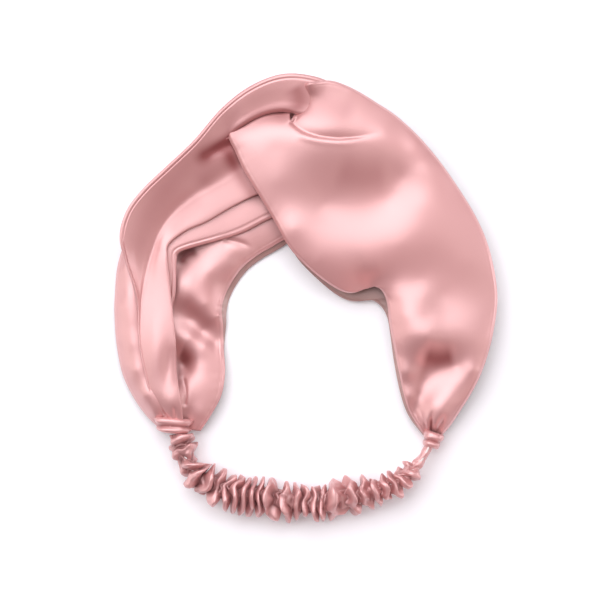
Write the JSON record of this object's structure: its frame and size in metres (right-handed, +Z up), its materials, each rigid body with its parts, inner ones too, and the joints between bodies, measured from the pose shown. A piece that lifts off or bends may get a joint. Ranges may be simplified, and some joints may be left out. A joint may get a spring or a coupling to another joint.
{
  "type": "knotted headband",
  "caption": "Wide satin headband with two folded ribbons twisted through each other at the front and a ruched elastic joining their gathered ends at the back, lying flat.",
  "frame": {"origin": "on the table, under the middle of the overall bounding box of the band as it lies flat", "axes": "+Z up from the table, +Y from the elastic towards the knot, +X towards the ribbon that shows in front at the knot"},
  "size_m": [0.1816, 0.2084, 0.0224],
  "materials": {
    "satin": "dusty pink charmeuse satin, glossy along its folds",
    "ruched_satin": "the same satin gathered into tight irregular ruffles",
    "thread": "matching polyester sewing thread",
    "elastic": "off-white braided elastic"
  },
  "bodies": {
    "right_band": {"right_ribbon_outer_ply": "satin", "right_ribbon_lining_ply": "satin", "right_ribbon_edge_seams": "thread", "right_end_tab": "satin", "right_gather_tack": "thread", "right_elastic_tack": "thread", "elastic_strip": "elastic", "elastic_casing": "ruched_satin", "casing_seam": "thread"},
    "left_band": {"left_ribbon_outer_ply": "satin", "left_ribbon_lining_ply": "satin", "left_ribbon_edge_seams": "thread", "left_end_tab": "satin", "left_gather_tack": "thread", "left_elastic_tack": "thread"}
  },
  "joints": [
    {"name": "knot_swing", "type": "hinge", "parent": "right_band", "child": "left_band", "pos_m": [-0.00581, 0.07999, 0.0087], "axis": [0, 0, -1], "range_deg": [0, 30], "stiffness_Nm_per_rad": 1.7, "deforming": ["elastic_strip", "elastic_casing", "casing_seam"]}
  ]
}
